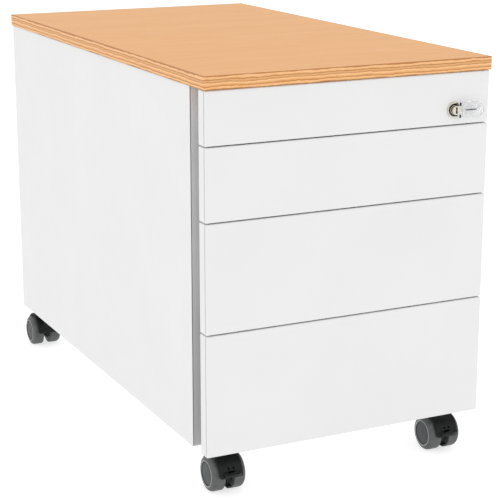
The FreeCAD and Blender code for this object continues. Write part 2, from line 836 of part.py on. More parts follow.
def castor_hood(castor, x, y, trail, braked):
    """A moulded hood: a fender over the wheels, a web between them that carries the axle,
    and a boss for the swivel pin. A braked hood has a slot and two lugs for its lever."""
    axle_y = f"({y} + {trail} * Size.trail)"
    half, clear = "Size.hood_half", "(Size.hood - Size.hood_sheet)"
    web_radius = f"({clear} + 0.5)"

    def below(part, high):
        across = (f"{x} - {half}", f"{x} + {half}")
        along = (f"{axle_y} - Size.hood - 1", f"{axle_y} + Size.hood + 1")
        return block(f"{castor}_{part}_below", across, along, ("-Size.hood", high))

    def wheel_space(part):
        return crosswise(f"{castor}_{part}_space", clear, x, axle_y, "Size.wheel", half)

    fender_out = crosswise(f"{castor}_fender_out", "Size.hood", x, axle_y, "Size.wheel", half)
    fender = cut(f"{castor}_fender", fender_out, [wheel_space("fender"), below("fender", "Size.hood_low")])
    boss_out = rod(f"{castor}_boss_out", "Size.boss", (x, y, "Size.hood"), "+Z", "Size.boss_top - Size.hood")
    boss = cut(f"{castor}_boss", boss_out, [wheel_space("boss")])
    web_out = crosswise(f"{castor}_web_out", web_radius, x, axle_y, "Size.wheel", "Size.web_half")
    drop = "Size.braked_web_drop" if braked else "Size.web_drop"
    web = cut(f"{castor}_web", web_out, [below("web", f"Size.wheel - {drop}")])
    holes = [
        crosswise(f"{castor}_axle_hole", "Size.axle", x, axle_y, "Size.wheel", half),
        rod(f"{castor}_swivel_hole", "Size.stem + Size.running_play", (x, y, STEM_LOW), "+Z", "30"),
    ]
    name = f"{castor}_castor_hood"
    solid = fuse(f"{castor}_hood_solid", [fender, boss, web])
    if not braked:
        piece(name, cut(name, solid, holes))
        return
    pivot, pivot_z = f"({axle_y} + {trail} * Size.lever_pivot_out)", "Size.lever_pivot_high"
    slot_along = sorted((f"{pivot} + {trail} * 20", f"{pivot} - {trail} * 4"), key=value)
    slot = block(
        f"{castor}_lever_slot",
        (f"{x} - Size.lug_in", f"{x} + Size.lug_in"),
        slot_along,
        ("Size.hood_low - 12", f"{pivot_z} + 5"),
    )
    lug_along = sorted((f"{pivot} + {trail} * 6", f"{pivot} - {trail} * 2.5"), key=value)
    lug_tall = ("Size.hood_low", f"{pivot_z} + 4")
    lug_low = (f"{x} - Size.lug_out", f"{x} - Size.lug_in")
    lug_high = (f"{x} + Size.lug_in", f"{x} + Size.lug_out")
    lug_pair = fuse(
        f"{castor}_lug_pair",
        [
            block(f"{castor}_low_lug", lug_low, lug_along, lug_tall),
            block(f"{castor}_high_lug", lug_high, lug_along, lug_tall),
        ],
    )
    lug_limit = crosswise(f"{castor}_lug_limit", web_radius, x, axle_y, "Size.wheel", half)
    lugs = common(f"{castor}_lugs", [lug_pair, lug_limit])
    trunnion_hole = crosswise(
        f"{castor}_trunnion_hole", "Size.trunnion + Size.running_play", x, pivot, pivot_z, "6"
    )
    slotted = cut(f"{castor}_hood_slotted", solid, [slot])
    with_lugs = fuse(f"{castor}_hood_lugs", [slotted, lugs])
    piece(name, cut(name, with_lugs, holes + [trunnion_hole]))


def brake_lever(castor, x, y, trail):
    """A lever on trunnions in the hood's lugs, with a paddle for the foot."""
    axle_y = f"({y} + {trail} * Size.trail)"
    pivot = f"({axle_y} + {trail} * Size.lever_pivot_out)"
    high = "Size.lever_pivot_high"
    half, neck_half = "Size.lever_half", "Size.lever_neck"
    under, over = f"{high} - 1.2", f"{high} + 2.3"
    neck_along = sorted((pivot, f"{pivot} + {trail} * 9"), key=value)
    paddle_along = sorted((f"{pivot} + {trail} * 7.8", f"{pivot} + {trail} * 16"), key=value)
    solids = [
        crosswise(f"{castor}_lever_boss", "2.5", x, pivot, high, neck_half),
        crosswise(f"{castor}_trunnions", "Size.trunnion", x, pivot, high, "(Size.lug_out - 0.1)"),
        block(f"{castor}_neck", (f"{x} - {neck_half}", f"{x} + {neck_half}"), neck_along, (under, over)),
        block(f"{castor}_paddle", (f"{x} - {half}", f"{x} + {half}"), paddle_along, (under, f"{over} + 0.5")),
    ]
    piece(f"{castor}_brake_lever", fuse(f"{castor}_brake_lever", solids))


def castor(name, x, y, sign, trail):
    """One twin-wheel castor: hood, axle, two hubs, two treads and, in front, a brake."""
    axle_y = f"({y} + {trail} * Size.trail)"
    braked = trail < 0
    castor_hood(name, x, y, trail, braked)
    half = "(Size.wheel_out - 2)"
    piece(
        f"{name}_castor_axle",
        rod(f"{name}_castor_axle", "Size.axle", (f"{x} - {half}", axle_y, "Size.wheel"), "+X", f"2 * {half}"),
    )
    for wheel, way in (("outer", sign), ("inner", -sign)):
        axis = "+X" if way > 0 else "-X"
        at = (x, axle_y, "Size.wheel")
        wheel_hub(f"{name}_{wheel}_hub", at, axis)
        wheel_tread(f"{name}_{wheel}_tread", at, axis)
    if braked:
        brake_lever(name, x, y, trail)


# ---- the whole cabinet -----------------------------------------------------------------

top_board()
top_board_screws()
side_panels()
back_panel()
top_deck()
base_pan()
grip_strips()
rear_posts()
runners()
for drawer in DRAWERS:
    drawer_front(drawer)
    drawer_tray(drawer)
lock_housing()
lock_core()
lock_arm()
lock_bar()
key_blade()
key_cap()
castor_stems()
for castor_place in castor_places():
    castor(*castor_place)

doc.recompute()
for item in doc.Objects:
    if {"Invalid", "Error"} & set(item.State):
        raise RuntimeError(f"{item.Name} did not recompute: {item.State}")
for label, item in pieces.items():
    if item.Shape.isNull() or not item.Shape.isValid():
        raise RuntimeError(f"{label} has no valid shape")

os.makedirs("parts", exist_ok=True)
for label, item in pieces.items():
    item.Shape.exportStep(f"parts/{label}.step")
print(len(pieces), "sub-parts written")
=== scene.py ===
"""Looks of the mobile desk pedestal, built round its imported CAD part.

Lengths in this script are in millimetres in the row frame: X to the right, Y to the back,
Z up from the floor. They are scaled to metres where a mesh is made.
"""

import math

import bmesh
import bpy
from mathutils import Matrix, Vector


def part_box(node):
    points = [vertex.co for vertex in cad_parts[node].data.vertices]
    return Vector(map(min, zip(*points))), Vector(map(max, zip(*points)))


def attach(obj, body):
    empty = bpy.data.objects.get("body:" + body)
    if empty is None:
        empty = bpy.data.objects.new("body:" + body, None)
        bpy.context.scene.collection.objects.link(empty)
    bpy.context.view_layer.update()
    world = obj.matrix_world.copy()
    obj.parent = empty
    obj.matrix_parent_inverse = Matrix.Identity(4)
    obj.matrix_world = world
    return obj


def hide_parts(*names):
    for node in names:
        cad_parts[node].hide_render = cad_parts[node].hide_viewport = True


MM = 0.001
DRAWERS = ("bottom", "third", "second", "top")
# Each castor's swivel axis in X and Y, its side of the body, and the way that it trails along Y.
CASTORS = {
    "front_left": (-172, -331, -1, -1),
    "front_right": (172, -331, 1, -1),
    "rear_left": (-188, 342, -1, 1),
    "rear_right": (188, 342, 1, 1),
}
# Lowest and highest edge of each drawer's tray.
TRAY_HEIGHTS = {"bottom": (80, 225), "third": (245, 375), "second": (395, 450), "top": (490.5, 544.5)}
# The inset of a front's closing plate, and how far from the middle its drain holes are.
PLATE_INSET, DRAIN_X = 9, 183
# The lock's axis and the face of its flange, and the hinge of the folding key.
LOCK_X, LOCK_Z, LOCK_FACE = 157, 505, -395
FOLD_X, FOLD_Y = 163.5, -399.5
# A castor's axle behind its swivel axis and above the floor, and its brake's pivot from the axle
# and above the floor.
TRAIL, AXLE_Z = 22, 25
BRAKE_REACH, BRAKE_Z = 23.2, 31.2
# The heights between which painted shade darkens the grip strips towards the floor and the castors' hoods
# towards their top.
STRIP_SHADE_HEIGHTS, HOOD_SHADE_HEIGHTS = (70, 550), (34, 56)
# The least angles between two faces, in degrees, that are shown as a sharp edge and that are
# eased on a CAD node.
SHARP, EASED = 38, 40

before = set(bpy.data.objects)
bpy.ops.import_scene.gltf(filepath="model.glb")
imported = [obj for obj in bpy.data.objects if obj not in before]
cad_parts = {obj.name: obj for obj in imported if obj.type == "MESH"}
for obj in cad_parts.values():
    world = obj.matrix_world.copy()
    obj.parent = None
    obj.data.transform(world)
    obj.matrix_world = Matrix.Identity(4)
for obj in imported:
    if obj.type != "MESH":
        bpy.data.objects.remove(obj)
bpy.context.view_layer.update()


# ---- making meshes ---------------------------------------------------------------------


def box_of(node):
    """The low and high corners of a CAD node, in millimetres."""
    low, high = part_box(node)
    return low / MM, high / MM


def spans_of(node):
    """The low and high value of a CAD node along X, Y and Z, in millimetres."""
    return tuple(zip(*box_of(node)))


def arc(centre, radius, start, end, steps):
    """Points on an arc in a plane, its angles in degrees and its radius one number or two."""
    across, along = radius if isinstance(radius, tuple) else (radius, radius)
    angles = [math.radians(start + (end - start) * step / steps) for step in range(steps + 1)]
    return [(centre[0] + across * math.cos(a), centre[1] + along * math.sin(a)) for a in angles]


def rounded(points, radius, steps=4):
    """A closed outline with each corner rounded, by one radius or a radius for each corner."""
    count = len(points)
    radii = radius if isinstance(radius, (list, tuple)) else [radius] * count
    smooth = []
    for i, reach in enumerate(radii):
        before, corner, after = (Vector(points[(i + step) % count]) for step in (-1, 0, 1))
        if not reach:
            smooth.append(tuple(corner))
            continue
        to_before, to_after = (before - corner).normalized(), (after - corner).normalized()
        half = to_before.angle(to_after) / 2
        setback = reach / math.tan(half)
        start, end = corner + to_before * setback, corner + to_after * setback
        centre = corner + (to_before + to_after).normalized() * reach / math.sin(half)
        for step in range(steps + 1):
            share = step / steps
            toward = (start - centre).lerp(end - centre, share)
            smooth.append(tuple(centre + toward.normalized() * reach))
    return smooth


def rectangle(across, along, radius, steps=4):
    """The outline of a rectangle with rounded corners."""
    corners = [(across[0], along[0]), (across[1], along[0]), (across[1], along[1]), (across[0], along[1])]
    return rounded(corners, max(radius, 0.05), steps)


def slab(x, y, z, edge=0.4, segments=3):
    """A box between a low and a high value along each axis, with every edge rounded."""
    bm = bmesh.new()
    bmesh.ops.create_cube(bm, size=1)
    for vert in bm.verts:
        vert.co = Vector((x[vert.co.x > 0], y[vert.co.y > 0], z[vert.co.z > 0]))
    bmesh.ops.bevel(bm, geom=bm.edges[:], offset=edge, segments=segments, profile=0.5, affect="EDGES")
    return bm


def loft(loops, ends=True):
    """A skin over a row of closed loops. With no ends, the last loop joins the first."""
    bm = bmesh.new()
    rows = [[bm.verts.new(point) for point in loop] for loop in loops]
    pairs = list(zip(rows, rows[1:]))
    if not ends:
        pairs.append((rows[-1], rows[0]))
    for one, two in pairs:
        for i in range(len(one)):
            k = (i + 1) % len(one)
            bm.faces.new((one[i], one[k], two[k], two[i]))
    if ends:
        bm.faces.new(rows[0])
        bm.faces.new(rows[-1])
    return bm


def lathe(profile, steps=64):
    """A solid turned about Z from points of radius and height."""
    bm = bmesh.new()
    rows = []
    for step in range(steps):
        angle = 2 * math.pi * step / steps
        rows.append([bm.verts.new((r * math.cos(angle), r * math.sin(angle), h)) for r, h in profile])
    for one, two in zip(rows, rows[1:] + rows[:1]):
        for i in range(len(profile) - 1):
            bm.faces.new((one[i], two[i], two[i + 1], one[i + 1]))
    bmesh.ops.remove_doubles(bm, verts=bm.verts, dist=1e-4)
    return bm


def as_object(bm):
    """A throwaway object that holds a bmesh, which is freed."""
    mesh = bpy.data.meshes.new("part")
    bm.to_mesh(mesh)
    bm.free()
    holder = bpy.data.objects.new("part", mesh)
    bpy.context.scene.collection.objects.link(holder)
    return holder


def as_bmesh(holder):
    """The bmesh of a throwaway object with its modifiers applied, and the object removed."""
    shown = holder.evaluated_get(bpy.context.evaluated_depsgraph_get())
    bm = bmesh.new()
    bm.from_mesh(shown.to_mesh())
    shown.to_mesh_clear()
    data = holder.data
    bpy.data.objects.remove(holder)
    (bpy.data.curves if isinstance(data, bpy.types.Curve) else bpy.data.meshes).remove(data)
    return bm


def less(solid, *tools):
    """A solid less every tool."""
    for tool in tools:
        holder, cutter = as_object(solid), as_object(tool)
        boolean = holder.modifiers.new("less", "BOOLEAN")
        boolean.operation = "DIFFERENCE"
        boolean.solver = "EXACT"
        boolean.object = cutter
        bpy.context.view_layer.update()
        solid = as_bmesh(holder)
        as_bmesh(cutter).free()
    return solid


def joined(*solids):
    """Several solids in one bmesh."""
    whole = bmesh.new()
    for solid in solids:
        part = bpy.data.meshes.new("part")
        solid.to_mesh(part)
        solid.free()
        whole.from_mesh(part)
        bpy.data.meshes.remove(part)
    return whole


def plate(outlines, thick, edge=0.3, steps=2):
    """A flat plate in the XY plane, from Z 0 up, with its rim rounded. Outlines after the
    first are holes in it."""
    curve = bpy.data.curves.new("part", "CURVE")
    curve.dimensions = "2D"
    curve.fill_mode = "BOTH"
    curve.extrude = thick / 2 - edge
    curve.bevel_depth = edge
    curve.bevel_resolution = steps
    curve.offset = -edge
    for outline in outlines:
        spline = curve.splines.new("POLY")
        spline.points.add(len(outline) - 1)
        for point, (u, v) in zip(spline.points, outline):
            point.co = (u, v, 0, 1)
        spline.use_cyclic_u = True
    holder = bpy.data.objects.new("part", curve)
    bpy.context.scene.collection.objects.link(holder)
    bpy.context.view_layer.update()
    bm = as_bmesh(holder)
    bmesh.ops.remove_doubles(bm, verts=bm.verts, dist=1e-3)
    bmesh.ops.translate(bm, verts=bm.verts, vec=(0, 0, thick / 2))
    return bm


TURNS = {
    "+X": Matrix.Rotation(math.radians(90), 4, "Y"),
    "-X": Matrix.Rotation(math.radians(-90), 4, "Y"),
    "+Y": Matrix.Rotation(math.radians(-90), 4, "X"),
    "-Y": Matrix.Rotation(math.radians(90), 4, "X"),
    "+Z": Matrix.Identity(4),
}


def placed(bm, at, axis="+Z"):
    """A solid with its own Z turned to an axis and its origin moved to a point."""
    bmesh.ops.transform(bm, matrix=Matrix.Translation(at) @ TURNS[axis], verts=bm.verts)
    return bm


def rod(radius, at, axis, length, edge=0.3):
    """A cylinder from a point along an axis, with both rims rounded."""
    rim = arc((radius - edge, edge), edge, -90, 0, 3) + arc((radius - edge, length - edge), edge, 0, 90, 3)
    return placed(lathe([(0, 0), *rim, (0, length)], 48), at, axis)


def finish_mesh(piece, material):
    """Smooth faces, sharp edges and weighted normals for a piece, and its material."""
    mesh = piece.data
    mesh.materials.clear()
    mesh.materials.append(material)
    for face in mesh.polygons:
        face.use_smooth = True
    mesh.set_sharp_from_angle(angle=math.radians(SHARP))
    piece.modifiers.new("normals", "WEIGHTED_NORMAL").keep_sharp = True


def piece(name, bm, body, slot, material, stands_for=()):
    """A shown piece in the row frame that moves with a CAD body."""
    bmesh.ops.recalc_face_normals(bm, faces=bm.faces)
    bmesh.ops.scale(bm, vec=(MM, MM, MM), verts=bm.verts)
    made = as_object(bm)
    made.name = name
    made.data.name = name
    finish_mesh(made, material)
    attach(made, body)
    if stands_for:
        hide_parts(*stands_for)
    return made


def dress(node, material, edge=0.3):
    """A CAD node that is shown as it is: its material, and its sharp edges eased."""
    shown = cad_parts[node]
    shown.data.materials.clear()
    shown.data.materials.append(material)
    weld = shown.modifiers.new("weld", "WELD")
    weld.merge_threshold = 0.00001
    ease = shown.modifiers.new("ease", "BEVEL")
    ease.width = edge * MM
    ease.segments = 2
    ease.limit_method = "ANGLE"
    ease.angle_limit = math.radians(EASED)
    ease.harden_normals = True


# ---- materials -------------------------------------------------------------------------


def linear(*levels):
    """A colour from display levels of 0 to 255."""
    shares = [level / 255 for level in levels]
    return tuple(c / 12.92 if c < 0.04045 else ((c + 0.055) / 1.055) ** 2.4 for c in shares) + (1,)


class Look:
    """A principled material with textures that follow the row frame."""

    def __init__(self, name, colour, roughness, metallic=0.0, specular=0.5):
        self.material = bpy.data.materials.new(name)
        self.material.use_nodes = True
        self.tree = self.material.node_tree
        self.shader = self.tree.nodes["Principled BSDF"]
        self.set("Base Color", colour)
        self.set("Roughness", roughness)
        self.set("Metallic", metallic)
        self.set("Specular IOR Level", specular)
        self.place = self.tree.nodes.new("ShaderNodeTexCoord").outputs["Object"]

    def set(self, socket, value):
        self.shader.inputs[socket].default_value = value

    def node(self, kind, **inputs):
        """A node with its inputs given as values or as other nodes' outputs."""
        made = self.tree.nodes.new(kind)
        for name, value in inputs.items():
            self.feed(made.inputs[name.replace("_", " ")], value)
        return made

    def feed(self, socket, value):
        if isinstance(value, bpy.types.NodeSocket):
            self.tree.links.new(value, socket)
        else:
            socket.default_value = value

    def noise(self, scale, stretch=(1, 1, 1), detail=3.0):
        """Noise with cells of 1/scale metres, each axis stretched."""
        spot = self.node("ShaderNodeMapping", Vector=self.place, Scale=stretch)
        made = self.node("ShaderNodeTexNoise", Vector=spot.outputs["Vector"], Scale=scale, Detail=detail)
        return made.outputs["Fac"]

    def ramp(self, share, stops):
        """A colour from a share by stops of (place, colour)."""
        made = self.node("ShaderNodeValToRGB", Fac=share)
        bar = made.color_ramp.elements
        while len(bar) < len(stops):
            bar.new(0.5)
        for stop, (spot, colour) in zip(bar, stops):
            stop.position = spot
            stop.color = colour
        return made.outputs["Color"]

    def mix(self, share, one, two, way="MIX"):
        """Two colours mixed by a share."""
        made = self.tree.nodes.new("ShaderNodeMix")
        made.data_type = "RGBA"
        made.blend_type = way
        sockets = [s for s in made.inputs if s.enabled]
        for socket, value in zip(sockets, (share, one, two)):
            self.feed(socket, value)
        return next(s for s in made.outputs if s.enabled)

    def between(self, share, low, high, start=0.3, end=0.7):
        """A number between two others by a share."""
        made = self.tree.nodes.new("ShaderNodeMapRange")
        for socket, value in zip(made.inputs, (share, start, end, low, high)):
            self.feed(socket, value)
        return made.outputs["Result"]

    def plus(self, one, two):
        """The sum of two numbers."""
        made = self.tree.nodes.new("ShaderNodeMath")
        self.feed(made.inputs[0], one)
        self.feed(made.inputs[1], two)
        return made.outputs[0]

    def rise(self, low, high):
        """A share that grows from 0 to 1 between two heights in millimetres."""
        split = self.node("ShaderNodeSeparateXYZ", Vector=self.place)
        return self.between(split.outputs["Z"], 0.0, 1.0, low * MM, high * MM)

    def bump(self, height, deep):
        """A bump of a depth in millimetres on top of any earlier one."""
        made = self.node("ShaderNodeBump", Height=height, Strength=1.0, Distance=deep * MM)
        earlier = self.shader.inputs["Normal"].links
        if earlier:
            self.tree.links.new(earlier[0].from_socket, made.inputs["Normal"])
        self.feed(self.shader.inputs["Normal"], made.outputs["Normal"])


def powder_coat(name, colour, roughness, gloss=0.4, shade_at_floor=1.0):
    """Powder-coated steel: orange peel, and a faint unevenness of tone and gloss. The tone
    can be darkened towards the floor, as painted shade, to a share of its colour there."""
    look = Look(name, colour, roughness, specular=gloss)
    # Painted shade: the colour is darkened towards the floor by the share given.
    below = tuple(shade_at_floor * c for c in colour[:3]) + (1,)
    tone = look.mix(look.rise(*STRIP_SHADE_HEIGHTS), below, colour)
    cloud = look.noise(9, detail=2)
    look.feed(look.shader.inputs["Base Color"], look.mix(cloud, tone, (0.95, 0.95, 0.95, 1), "MULTIPLY"))
    sheen = look.between(look.noise(60), roughness - 0.05, roughness + 0.05)
    look.feed(look.shader.inputs["Roughness"], sheen)
    look.bump(look.noise(900, detail=2), 0.05)
    return look.material


def zinc(name):
    """Zinc-plated steel: a cool grey with soft spangle and fine drawing lines."""
    look = Look(name, linear(186, 190, 194), 0.34, metallic=1.0)
    cloud = look.noise(45, detail=4)
    look.feed(
        look.shader.inputs["Base Color"],
        look.ramp(cloud, [(0.3, linear(168, 172, 178)), (0.7, linear(204, 207, 210))]),
    )
    streaks = look.noise(60, (8, 0.4, 8))
    look.feed(look.shader.inputs["Roughness"], look.between(streaks, 0.26, 0.42))
    look.bump(streaks, 0.02)
    return look.material


def nickel(name):
    """Satin nickel, with fine scratches."""
    look = Look(name, linear(206, 202, 190), 0.24, metallic=1.0)
    scratches = look.noise(900, (1, 1, 0.1), detail=2)
    look.feed(look.shader.inputs["Roughness"], look.between(scratches, 0.18, 0.32))
    look.bump(scratches, 0.01)
    return look.material


def moulded(name, colour, roughness, specular, top=1.0):
    """Moulded nylon: a fine spark-eroded grain and a faint unevenness of gloss. The tone
    can be darkened with height over a castor, as painted shade under the body, to a share of the colour at
    its top."""
    look = Look(name, colour, roughness, specular=specular)
    cloud = look.noise(70, detail=2)
    light = tuple(1.25 * c for c in colour[:3]) + (1,)
    tone = look.mix(cloud, colour, light)
    if top != 1.0:
        # Painted shade: the colour darkens upwards over the castor, towards the body's underside.
        tone = look.mix(look.rise(*HOOD_SHADE_HEIGHTS), tone, tuple(top * c for c in colour[:3]) + (1,))
    look.feed(look.shader.inputs["Base Color"], tone)
    look.feed(look.shader.inputs["Roughness"], look.between(cloud, roughness - 0.05, roughness + 0.07))
    look.bump(look.noise(2200, detail=2), 0.02)
    return look.material


def tread_rubber(name):
    """Soft grey tread: matt, and dusty in places."""
    colour = linear(82, 84, 84)
    look = Look(name, colour, 0.5, specular=0.45)
    dust = look.noise(120, detail=5)
    look.feed(
        look.shader.inputs["Base Color"],
        look.ramp(dust, [(0.35, linear(72, 74, 75)), (0.7, linear(90, 91, 90))]),
    )
    look.feed(look.shader.inputs["Roughness"], look.between(dust, 0.42, 0.6))
    look.bump(look.noise(1500, detail=3), 0.03)
    return look.material


def beech(name):
    """Beech veneer: faint bands along X, short darker flecks and fine pores."""
    look = Look(name, linear(232, 170, 102), 0.46, specular=0.2)
    bands = look.noise(1, (2.2, 34, 34), detail=3)
    fibres = look.noise(1, (16, 520, 520), detail=4)
    flecks = look.noise(1, (90, 900, 900), detail=2)
    tone = look.ramp(
        bands,
        [(0.3, linear(230, 167, 99)), (0.5, linear(232, 170, 103)), (0.72, linear(234, 173, 107))],
    )
    tone = look.mix(look.between(fibres, 0.0, 0.35), tone, linear(218, 153, 86))
    tone = look.mix(look.between(flecks, 0.0, 0.5, 0.6, 0.74), tone, linear(194, 130, 74))
    look.feed(look.shader.inputs["Base Color"], tone)
    look.feed(look.shader.inputs["Roughness"], look.between(fibres, 0.38, 0.5))
    look.bump(fibres, 0.03)
    look.bump(flecks, 0.03)
    return look.material


def layered_edging(name, low, high):
    """An edging band printed as wavy layers of wood between two heights in millimetres, with painted shade
    along its lower edge.
    """
    look = Look(name, linear(226, 172, 120), 0.45, specular=0.15)
    height = look.rise(low, high)
    wave = look.between(look.noise(1, (26, 26, 90), detail=2), -0.045, 0.045)
    ripple = look.between(look.noise(1, (150, 150, 200), detail=2), -0.02, 0.02)
    level = look.plus(look.plus(height, wave), ripple)
    layers = look.ramp(level, [(spot, linear(*colour)) for spot, colour in EDGING_LAYERS_AND_SHADE])
    fibres = look.noise(1, (120, 120, 1600), detail=3)
    tone = look.mix(look.between(fibres, 0.0, 0.25), layers, linear(176, 118, 70))
    look.feed(look.shader.inputs["Base Color"], tone)
    look.bump(fibres, 0.03)
    return look.material


# Layers of the edging's print from its lower edge up, each a share of its height and a colour.
# The dark band at the lower edge is painted shade under the board's edge; the rest is print.
EDGING_LAYERS_AND_SHADE = (
    (0.00, (170, 117, 70)),
    (0.05, (194, 140, 87)),
    (0.09, (236, 183, 126)),
    (0.19, (246, 193, 137)),
    (0.215, (188, 128, 74)),
    (0.265, (194, 135, 81)),
    (0.30, (225, 168, 110)),
    (0.38, (234, 181, 126)),
    (0.46, (250, 200, 149)),
    (0.50, (196, 141, 88)),
    (0.56, (204, 149, 96)),
    (0.60, (226, 173, 120)),
    (0.66, (221, 168, 114)),
    (0.685, (180, 124, 74)),
    (0.73, (190, 134, 82)),
    (0.765, (238, 187, 134)),
    (0.89, (242, 190, 137)),
    (0.925, (180, 122, 70)),
    (1.00, (184, 126, 74)),
)


def clear_plastic(name):
    """Clear moulded plastic with faint flow marks."""
    look = Look(name, linear(253, 254, 255), 0.08)
    look.set("Transmission Weight", 0.95)
    look.set("IOR", 1.3)
    look.set("Alpha", 0.5)
    look.feed(look.shader.inputs["Roughness"], look.between(look.noise(300), 0.05, 0.16))
    look.bump(look.noise(260, detail=2), 0.04)
    return look.material


white_steel = powder_coat("white_steel", linear(226, 226, 226), 0.5)
tray_steel = powder_coat("tray_steel", linear(228, 229, 230), 0.45)
# The grip strips' grey falls to two thirds towards the floor: painted shade.
grey_steel = powder_coat("grey_steel", linear(222, 222, 223), 0.42, shade_at_floor=0.66)
zinc_steel = zinc("zinc_steel")
nickel_plate = nickel("nickel_plate")
# The hoods' black darkens to a fifth towards their top: painted shade under the cabinet.
black_nylon = moulded("black_nylon", linear(18, 20, 20), 0.4, 0.2, 0.2)
lever_nylon = moulded("lever_nylon", linear(16, 18, 18), 0.3, 0.3)
dark_nylon = moulded("dark_nylon", linear(60, 62, 63), 0.45, 0.3)
grey_tread = tread_rubber("grey_tread")
# A pale grey for the ring round each hub disc: a painted highlight.
painted_highlight_grey = moulded("painted_highlight_grey", linear(156, 159, 159), 0.4, 0.4)
# A dark grey for the strips in the fronts' side joints: painted shade.
painted_seam_shade = moulded("painted_seam_shade", linear(72, 72, 73), 0.7, 0.1)
board_veneer = beech("board_veneer")
clear_cap = clear_plastic("clear_cap")
shadow_black = moulded("shadow_black", linear(8, 8, 8), 0.7, 0.1)


# ---- top board -------------------------------------------------------------------------


def top_board():
    """The veneered core, and the edging band round it with its long edges rounded."""
    (x, y, z) = spans_of("top_board")
    piece("board", slab(x, y, z, 0.35), "cabinet", "board_veneer", board_veneer, ["top_board"])
    (x, y, z) = spans_of("top_board_edging")
    band, ease = 2, 0.7
    section = rounded([(0, z[0]), (band, z[0]), (band, z[1]), (0, z[1])], [ease, 0.25, 0.25, ease])
    loops = []
    for inset, height in section:
        outline = rectangle((x[0] + inset, x[1] - inset), (y[0] + inset, y[1] - inset), 1.6 - 0.7 * inset)
        loops.append([(u, v, height) for u, v in outline])
    edging = layered_edging("board_edging", *z)
    piece("board_edging", loft(loops, False), "cabinet", "board_edging", edging, ["top_board_edging"])
    dress("top_board_screws", zinc_steel)


# ---- steel body ------------------------------------------------------------------------


def side_panels():
    """The two side sheets, with eased edges, which end a little in front of the strips."""
    for side in ("left", "right"):
        node = f"{side}_side"
        (x, y, z) = spans_of(node)
        sheet = slab(x, (y[0] - 1.5, y[1]), z, 0.5)
        piece(f"{side}_sheet", sheet, "cabinet", "white_steel", white_steel, [node])


def grip_strips():
    """The folded front posts. A fine groove parts each face from the side sheet, and the
    right web has windows for the lock's arm and for the lock bar's tabs."""
    (_, y, z) = spans_of("grip_strips")
    sheet, inner, outer, lip = 1.2, 188, 210.9, 12
    outline = [
        (inner, y[0]),
        (outer, y[0]),
        (outer, y[0] + sheet),
        (inner + sheet, y[0] + sheet),
        (inner + sheet, y[1] - sheet),
        (inner + lip, y[1] - sheet),
        (inner + lip, y[1]),
        (inner, y[1]),
    ]
    section = rounded(outline, [1.8, 0.4, 0.4, 0.6, 0.6, 0.4, 0.4, 1.8])
    right = placed(plate([section], z[1] - z[0], 0.2), (0, 0, z[0]))
    left = placed(plate([[(-u, v) for u, v in section]], z[1] - z[0], 0.2), (0, 0, z[0]))
    web = (inner - 2, inner + 3)
    arm_window = slab(web, (-342.7, -338.9), (499, 529), 0.2)
    tab_windows = [
        slab(web, (-339.7, -335.8), (low + 2.3, low + 15.7), 0.2) for low, _ in TRAY_HEIGHTS.values()
    ]
    posts = joined(left, less(right, arm_window, *tab_windows))
    piece("grip_posts", posts, "cabinet", "grey_steel", grey_steel, ["grip_strips"])


def back_panel():
    """The back sheet, bent forward into a flange along each side."""
    (x, y, z) = spans_of("back_panel")
    gauge = 1.2
    outline = [
        (x[0], y[0]),
        (x[0] + gauge, y[0]),
        (x[0] + gauge, y[1] - gauge),
        (x[1] - gauge, y[1] - gauge),
        (x[1] - gauge, y[0]),
        (x[1], y[0]),
        (x[1], y[1]),
        (x[0], y[1]),
    ]
    section = rounded(outline, [0.3, 0.3, 0.6, 0.6, 0.3, 0.3, 1.8, 1.8])
    sheet = placed(plate([section], z[1] - z[0], 0.25), (0, 0, z[0]))
    piece("back_sheet", sheet, "cabinet", "white_steel", white_steel, ["back_panel"])


def body_inside():
    """The sheets, posts and fixed parts of the body that keep their CAD shape."""
    for node in ("top_deck", "base_pan", "rear_posts"):
        dress(node, white_steel)
    for node in ("outer_rails", "castor_stems", "lock_bar", "lock_arm"):
        dress(node, zinc_steel)
    for drawer in DRAWERS:
        dress(f"{drawer}_middle_rails", zinc_steel)
        dress(f"{drawer}_inner_rails", zinc_steel)


# ---- drawers ---------------------------------------------------------------------------


def front_section(deep):
    """The folded front's section, as insets from its outline and depths behind its face:
    the bend round the face, a joint line, the return, the lip and the inside."""
    bend, sheet, lip = 2, 1.2, 12
    face = arc((bend, bend), bend, 270, 180, 6)
    joint = [(0, 2.1), (2.2, 2.3), (2.2, 3.5), (0, 3.7)]
    back = arc((1, deep - 1), 1, 180, 90, 3)
    hem = [(lip - 0.3, deep), (lip, deep - 0.3), (lip, deep - sheet + 0.3), (lip - 0.3, deep - sheet)]
    inside = [
        (sheet + 0.3, deep - sheet),
        (sheet, deep - sheet - 0.3),
        (sheet, sheet + 0.3),
        (sheet + 0.3, sheet),
    ]
    return face + joint + back + hem + inside


